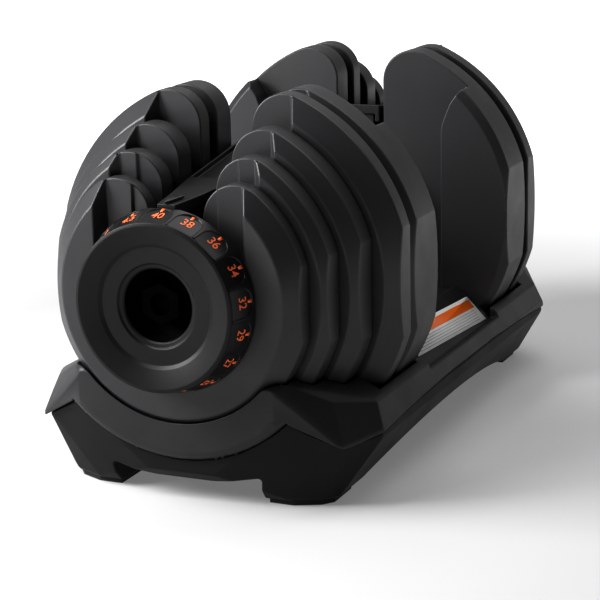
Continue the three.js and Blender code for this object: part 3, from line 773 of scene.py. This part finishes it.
def plate_room(number):
    """The room a plate needs in the tray, open upwards."""
    low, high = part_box(f"front_plate_{number}")
    inner, face = -high.y - CLEAR, -low.y + FACE_CLEAR
    front, radius = PLATE_FRONT[number] + FACE_CLEAR, PLATE_RADIUS[number] + CLEAR
    bevel = radius - (face - front)
    room = turned([(0, inner), (radius, inner), (radius, front), (bevel, face), (0, face)])
    return common(room, block(-FAR, FAR, -face - MM, 0, FLOOR_TOP, FAR))


def end_face():
    """What is in front of the open end: the lip's flat face and its rounded lower edge."""
    face, edge = LIP["face"], LIP["edge"]
    return turned([(0, face), (LIP["round_from"] + 0.003, face, 0.006), (TRAY_ARC, edge - 0.0006, 0.0008),
                   (TRAY_ARC + 0.003, edge), (TRAY_ARC + 0.005, face + 0.004), (FAR, face + 0.03),
                   (FAR, FAR), (0, FAR)], steps=8)


def over_deck():
    """What is above the deck between the plates: its floor, ridges and side slopes."""
    side = [(DECK["floor_x"], DECK["floor"]), (DECK["floor_x"] + 0.004, DECK["ridge"]),
            (DECK["ridge_x"], DECK["ridge"]), (DECK["rail_x"], DECK["rail_z"]),
            (DECK["rail_x"] + 0.003, DECK["rail_z"] + 0.0015), (FAR, DECK["rail_z"] + 0.003), (FAR, FAR)]
    return pushed(mirrored(side) + side, -DECK["half"] - MM, DECK["half"] + MM)


def tray_cradle():
    """The upper shell with its plate slots, lips, deck and the room under the deck."""
    tools = []
    for number in PLATE_RADIUS:
        tools += both_ends(plate_room(number))
    notch = block(-NOTCH["half"], NOTCH["half"], -NOTCH["to"], -NOTCH["from"], NOTCH["z"], FAR)
    for tool in (notch, end_face(), tube(0, DIAL_ROOM["radius"], DIAL_ROOM["from"], FAR)):
        tools += both_ends(tool)
    tools.append(over_deck())
    half = DECK["half"] - 0.005
    tools.append(pushed(mirrored(DECK_UNDERSIDE) + DECK_UNDERSIDE, -half, half))
    return cut(common(cradle_outer(), above_seam(0)), *tools)


def side_arch():
    """The long arch between the feet on one side."""
    reach = FOOT["from"]
    curve = arched(reach, PAD_HEIGHT, ARCH["height"] - PAD_HEIGHT, power=2, steps=48)
    return prism([(-reach, BELOW), *curve, (reach, BELOW)], "x", ARCH["inner_x"], FAR)


def end_arch():
    """The low arch between the two feet at the front end."""
    shoulder = (FOOT["inner_x"] + 0.003, END_ARCH["shoulder"], 0.002)
    side = [(END_ARCH["half"], END_ARCH["height"], 0.03), shoulder, (FOOT["inner_x"], BELOW)]
    return pushed(mirrored(side) + side, FOOT["from"] - 0.004, FAR)


def tray_base():
    """The lower shell with its feet, arches and hollow underside."""
    tools = [above_seam(-GAP)]
    for number, radius in PLATE_RADIUS.items():
        if radius > TRAY_ARC:
            tools += both_ends(plate_room(number))
    tools += both_ends(side_arch())
    tools += both_ends(end_arch())
    inner = ARCH["inner_x"] - 0.003
    tools.append(block(-inner, inner, -FOOT["from"], FOOT["from"], BELOW, 0.008))
    tools.append(block(-CORE["x"], CORE["x"], -CORE["y"], CORE["y"], BELOW, CORE["height"]))
    return cut(base_outer(), *tools)


# ---------------------------------------------------------------- label
LABEL = {"width": 0.019, "length": 0.113, "thick": 0.0003, "tilt": 0.054, "x": 0.0866, "z": 0.0616}
PRINT = {"band": (-0.0071, -0.0010), "band_ends": (-0.0545, 0.0545), "rules": (0.0004, 0.0085),
         "rule_ends": (-0.050, 0.0505), "pitch": 0.00085, "gap": 0.00066}
PRINT_ORANGE = (1.0, 0.19, 0.0)
PRINT_GREY = (0.42, 0.41, 0.42)


def label_frame():
    """The label's own frame: X down the slope, Y along the tray, Z out of the paper."""
    turn = Matrix.Rotation(math.pi / 4, 4, "Y") @ Matrix.Rotation(-LABEL["tilt"], 4, "Z")
    return Matrix.Translation((LABEL["x"], -0.0005, LABEL["z"])) @ turn


def tray_label():
    """The paper, in its own frame."""
    x, y, corner = LABEL["width"] / 2, LABEL["length"] / 2, 0.0008
    outline = rounded([(-x, -y, corner), (x, -y, corner), (x, y, corner), (-x, y, corner)])
    paper = prism(outline, "z", -LABEL["thick"], 0)
    paper.matrix_world = label_frame()
    return paper


# ---------------------------------------------------------------- materials
def add(tree, kind, **values):
    """A node with its inputs and properties set by name."""
    made_node = tree.nodes.new(kind)
    for name, value in values.items():
        key = name.replace("_", " ")
        if key in made_node.inputs:
            made_node.inputs[key].default_value = value
        else:
            setattr(made_node, name, value)
    return made_node


def new_material(name):
    """A material, its node tree and its shader."""
    material = bpy.data.materials.new(name)
    material.use_nodes = True
    tree = material.node_tree
    return material, tree, tree.nodes["Principled BSDF"]


def spread(tree, source, low, high, start=0.3, end=0.7):
    """A value stretched from its own range to another."""
    ramp = add(tree, "ShaderNodeMapRange")
    ramp.inputs["From Min"].default_value = start
    ramp.inputs["From Max"].default_value = end
    ramp.inputs["To Min"].default_value = low
    ramp.inputs["To Max"].default_value = high
    tree.links.new(source, ramp.inputs["Value"])
    return ramp.outputs["Result"]


def blended(tree, share, first, second):
    """A colour between two, each a value or another node's output, by a share from 0 to 1."""
    mix = add(tree, "ShaderNodeMix", data_type="RGBA")
    for socket, colour in zip([s for s in mix.inputs if s.type == "RGBA"], (first, second)):
        if isinstance(colour, bpy.types.NodeSocket):
            tree.links.new(colour, socket)
        else:
            socket.default_value = (*colour, 1)
    tree.links.new(share, mix.inputs["Factor"])
    return next(s for s in mix.outputs if s.type == "RGBA")


def engraved(tree, shader, height, strength, depth):
    """A height turned into the shader's bump."""
    bump = add(tree, "ShaderNodeBump", Strength=strength, Distance=depth)
    tree.links.new(height, bump.inputs["Height"])
    tree.links.new(bump.outputs["Normal"], shader.inputs["Normal"])


def moulded(name, colour, roughness, grain=2600, relief=0.05, mottle=0.12, specular=0.5):
    """Moulded plastic or coating: fine grain, cloudy tone and uneven gloss."""
    material, tree, shader = new_material(name)
    place = add(tree, "ShaderNodeTexCoord").outputs["Object"]
    fine = add(tree, "ShaderNodeTexNoise", Scale=grain, Detail=3.0, Roughness=0.6)
    cloud = add(tree, "ShaderNodeTexNoise", Scale=34.0, Detail=5.0, Roughness=0.62)
    for noise in (fine, cloud):
        tree.links.new(place, noise.inputs["Vector"])
    darker = [c * (1 - mottle) for c in colour]
    lighter = [min(1, c * (1 + mottle)) for c in colour]
    share = spread(tree, cloud.outputs["Fac"], 0, 1)
    tree.links.new(blended(tree, share, darker, lighter), shader.inputs["Base Color"])
    gloss = spread(tree, cloud.outputs["Fac"], roughness + 0.05, roughness - 0.05)
    tree.links.new(gloss, shader.inputs["Roughness"])
    engraved(tree, shader, fine.outputs["Fac"], relief, 0.0002)
    shader.inputs["Specular IOR Level"].default_value = specular
    return material


def reckoned(tree, operation, first, second):
    """The result of a sum on a node's output and a number or another output."""
    node = add(tree, "ShaderNodeMath", operation=operation)
    tree.links.new(first, node.inputs[0])
    if isinstance(second, bpy.types.NodeSocket):
        tree.links.new(second, node.inputs[1])
    else:
        node.inputs[1].default_value = second
    return node.outputs[0]


def inside(tree, value, low, high):
    """1 where a coordinate lies between two values."""
    above = reckoned(tree, "GREATER_THAN", value, low)
    below = reckoned(tree, "LESS_THAN", value, high)
    return reckoned(tree, "MULTIPLY", above, below)


def label_print():
    """White paper with an orange band and ruled grey lines, no lettering."""
    material, tree, shader = new_material("label_print")
    place = add(tree, "ShaderNodeSeparateXYZ")
    tree.links.new(add(tree, "ShaderNodeTexCoord").outputs["Object"], place.inputs[0])
    down, along = place.outputs["X"], place.outputs["Y"]
    cloud = add(tree, "ShaderNodeTexNoise", Scale=60.0, Detail=3.0)
    cloudy = spread(tree, cloud.outputs["Fac"], 0, 1)
    paper = blended(tree, cloudy, (0.93, 0.93, 0.92), (0.97, 0.97, 0.96))
    band = reckoned(tree, "MULTIPLY", inside(tree, down, *PRINT["band"]),
                    inside(tree, along, *PRINT["band_ends"]))
    wave = reckoned(tree, "PINGPONG", down, PRINT["pitch"])
    rules = reckoned(tree, "MULTIPLY", inside(tree, wave, PRINT["gap"], 1),
                     inside(tree, down, *PRINT["rules"]))
    rules = reckoned(tree, "MULTIPLY", rules, inside(tree, along, *PRINT["rule_ends"]))
    ink = blended(tree, rules, blended(tree, band, paper, PRINT_ORANGE), PRINT_GREY)
    tree.links.new(ink, shader.inputs["Base Color"])
    shader.inputs["Roughness"].default_value = 0.42
    return material


def turned_metal(name, colour, roughness):
    """Metal with fine turning marks round the handle's axis."""
    material, tree, shader = new_material(name)
    place = add(tree, "ShaderNodeTexCoord").outputs["Object"]
    stretch = add(tree, "ShaderNodeMapping", Scale=(60, 4200, 60))
    marks = add(tree, "ShaderNodeTexNoise", Scale=1.0, Detail=2.0)
    tree.links.new(place, stretch.inputs["Vector"])
    tree.links.new(stretch.outputs["Vector"], marks.inputs["Vector"])
    gloss = spread(tree, marks.outputs["Fac"], roughness - 0.08, roughness + 0.1)
    tree.links.new(gloss, shader.inputs["Roughness"])
    darker = [c * 0.85 for c in colour]
    tint = blended(tree, spread(tree, marks.outputs["Fac"], 0, 1), darker, colour)
    tree.links.new(tint, shader.inputs["Base Color"])
    engraved(tree, shader, marks.outputs["Fac"], 0.08, 0.0001)
    shader.inputs["Metallic"].default_value = 1.0
    return material


PLATE_COAT = moulded("plate_coat", (0.027, 0.027, 0.029), 0.42, specular=0.45)
TRAY_PLASTIC = moulded("tray_plastic", (0.026, 0.026, 0.0275), 0.44, specular=0.3)
BASE_PLASTIC = moulded("base_plastic", (0.0080, 0.0080, 0.0085), 0.50, specular=0.2)
DIAL_PLASTIC = moulded("dial_plastic", (0.0065, 0.0065, 0.0070), 0.44, specular=0.24)
# painted shade: a near-black surface for the dial's hole, standing in for the shade inside it
BORE_PAINTED_SHADE = moulded("bore_painted_shade", (0.0010, 0.0010, 0.0010), 0.6, specular=0.03)
RING_PLASTIC = moulded("ring_plastic", (0.0070, 0.0070, 0.0075), 0.36, specular=0.35)
BRIDGE_PLASTIC = moulded("bridge_plastic", (0.013, 0.013, 0.014), 0.42, specular=0.3)
POINTER_GLOSS = moulded("pointer_gloss", (0.04, 0.04, 0.042), 0.18, relief=0.02)
RUBBER = moulded("rubber", (0.014, 0.014, 0.014), 0.75, grain=1800, relief=0.2)
FIGURE_PAINT = moulded("figure_paint", (0.90, 0.19, 0.05), 0.5, relief=0.02, mottle=0.05)
BLACK_OXIDE = turned_metal("black_oxide", (0.0012, 0.0012, 0.0014), 0.6)
STEEL = turned_metal("turned_steel", (0.55, 0.55, 0.56), 0.32)
ZINC = turned_metal("zinc_casting", (0.30, 0.30, 0.31), 0.42)


# ---------------------------------------------------------------- assembly
def both(piece, node, body, material, slot, edge=0, **rounding):
    """A front piece and its copy at the rear, in place of the CAD nodes of both ends."""
    copies = both_ends(piece)
    for end, copy in zip(ENDS, copies):
        own_body = body if body in ("tray", "handle") else f"{end}_{body}"
        finished(copy, f"{end}_{node}_shell", own_body, material, slot, edge, f"{end}_{node}", **rounding)
    return copies


def build_plates():
    for number in PLATE_RADIUS:
        both(weight_plate(number), f"plate_{number}", f"weight_{number}", PLATE_COAT, "plate_coat",
             edge=0.0010, crease=True)


def paint_bore_shade(knob):
    """Painted shade: the wall and floor of the dial's hole get a near-black material that stands in for
    the shade deep in the hole.
    """
    knob.data.materials.append(BORE_PAINTED_SHADE)
    for face in knob.data.polygons:
        out = math.hypot(face.center.x, face.center.z - AXIS_Z)
        if out < DIAL_HOLE + 0.2 * MM and abs(face.center.y) > DIAL_BACK + MM:
            face.material_index = 1


def build_selectors():
    for knob in both(dial_knob(), "dial_knob", "selector", DIAL_PLASTIC, "dial_plastic"):
        # painted shade inside the dial's hole
        paint_bore_shade(knob)
    both(dial_ring(), "dial_ring", "selector", RING_PLASTIC, "ring_plastic", edge=0.0003, segments=2)
    for end, figures in zip(ENDS, both_ends(dial_figures())):
        finished(figures, f"{end}_dial_figures", f"{end}_selector", FIGURE_PAINT, "figure_paint")
    both(selector_sleeve(), "sleeve", "selector", ZINC, "zinc", edge=0.0005)
    for number in PLATE_RADIUS:
        both(selector_disc(number), f"disc_{number}", "selector", ZINC, "zinc", edge=0.0003)


def build_handle():
    finished(grip(), "grip_knurled", "handle", RUBBER, "rubber", replaces="grip")
    both(collar(), "collar", "handle", BRIDGE_PLASTIC, "bridge_plastic", edge=0.0006)
    both(bridge(), "bridge", "handle", BRIDGE_PLASTIC, "bridge_plastic", edge=0.0006)
    both(pointer(), "pointer", "handle", POINTER_GLOSS, "gloss_plastic")
    both(spindle_nut(), "nut", "handle", BLACK_OXIDE, "steel", edge=0.0003)


def build_tray():
    edge = 0.0011
    finished(tray_cradle(), "tray_cradle_shell", "tray", TRAY_PLASTIC, "tray_plastic", edge, "tray_cradle")
    finished(tray_base(), "tray_base_shell", "tray", BASE_PLASTIC, "base_plastic", edge, "tray_base")
    finished(tray_label(), "tray_label_printed", "tray", label_print(), "label", replaces="tray_label")


def finish_cad_nodes():
    """Small pieces that keep their CAD shape get a surface of their own."""
    finishes = {"pad": RUBBER, "screw": BLACK_OXIDE, "lock_pin": STEEL, "lock_post": TRAY_PLASTIC,
                "handle_tube": STEEL, "spindle": BLACK_OXIDE}
    for name, node in frame["nodes"].items():
        for word, material in finishes.items():
            if word in name:
                node.data.materials.clear()
                node.data.materials.append(material)


build_plates()
build_selectors()
build_handle()
build_tray()
finish_cad_nodes()


# ---------------------------------------------------------------- stage, light and camera
def studio_floor():
    """A pale floor that glows a little more away from the object, to meet the white surround."""
    half = 30.0
    floor = prism([(-half, -half), (half, -half), (half, half), (-half, half)], "z", -0.02, 0)
    floor.name = "studio_floor"
    material, tree, shader = new_material("studio_floor")
    shader.inputs["Base Color"].default_value = (0.5, 0.5, 0.5, 1)
    shader.inputs["Roughness"].default_value = 0.8
    shader.inputs["Emission Color"].default_value = (1, 1, 1, 1)
    away = add(tree, "ShaderNodeVectorMath", operation="LENGTH")
    tree.links.new(add(tree, "ShaderNodeTexCoord").outputs["Object"], away.inputs[0])
    glow = spread(tree, away.outputs["Value"], low=0.14, high=0.9, start=0.35, end=1.1)
    tree.links.new(glow, shader.inputs["Emission Strength"])
    floor.data.materials.append(material)


def softbox(name, spot, aim, size, power):
    """A square or oblong lamp at a spot, turned to a point."""
    light = bpy.data.lights.new(name, "AREA")
    light.shape = "RECTANGLE"
    light.size, light.size_y = size
    light.energy = power
    lamp = bpy.data.objects.new(name, light)
    lamp.location = spot
    lamp.rotation_euler = (Vector(aim) - Vector(spot)).to_track_quat("-Z", "Y").to_euler()
    bpy.context.scene.collection.objects.link(lamp)


def studio_world(way, start, end, strength):
    """A surround that brightens from black to white towards one side."""
    world = bpy.data.worlds.new("studio")
    world.use_nodes = True
    tree = world.node_tree
    facing = add(tree, "ShaderNodeVectorMath", operation="DOT_PRODUCT")
    facing.inputs[1].default_value = Vector(way).normalized()
    tree.links.new(add(tree, "ShaderNodeTexCoord").outputs["Generated"], facing.inputs[0])
    glow = spread(tree, facing.outputs["Value"], 0, strength, start, end)
    tree.links.new(glow, tree.nodes["Background"].inputs["Strength"])
    tree.nodes["Background"].inputs["Color"].default_value = (1, 1, 1, 1)
    bpy.context.scene.world = world


def camera(azimuth, elevation, roll, target, distance, focal_length):
    """A camera at an azimuth from the front and an elevation, angles in degrees."""
    azimuth, elevation, roll = map(math.radians, (azimuth, elevation, roll))
    back = Vector((math.sin(azimuth) * math.cos(elevation), -math.cos(azimuth) * math.cos(elevation),
                   math.sin(elevation)))
    level = Vector((math.cos(azimuth), math.sin(azimuth), 0))
    upright = back.cross(level)
    right = level * math.cos(roll) + upright * math.sin(roll)
    up = upright * math.cos(roll) - level * math.sin(roll)
    lens = bpy.data.cameras.new("camera")
    lens.sensor_width = 36
    lens.lens = focal_length
    eye = bpy.data.objects.new("camera", lens)
    turn = Matrix((right, up, back)).transposed().to_4x4()
    eye.matrix_world = Matrix.Translation(Vector(target) + back * distance) @ turn
    bpy.context.scene.collection.objects.link(eye)
    bpy.context.scene.camera = eye


studio_floor()
studio_world((-0.5, 0.87, 0), start=-0.05, end=0.55, strength=0.32)
softbox("key", spot=(-0.60, -0.54, 0.46), aim=(0, -0.1, 0.12), size=(0.36, 0.36), power=8.0)
softbox("high_front", spot=(-0.30, -0.46, 0.72), aim=(0, -0.2, 0.12), size=(0.25, 0.25), power=2.2)
softbox("overhead", spot=(0.1, 0.25, 0.85), aim=(0, 0, 0.12), size=(0.9, 0.6), power=2.4)
camera(azimuth=23.88, elevation=13.99, roll=-1.20, target=(-0.01029, 0, 0.06959), distance=1.25729,
       focal_length=118.7)
bpy.context.scene.view_settings.view_transform = "Standard"
bpy.context.scene.view_settings.exposure = 0.7
bpy.context.scene.view_settings.gamma = 0.78
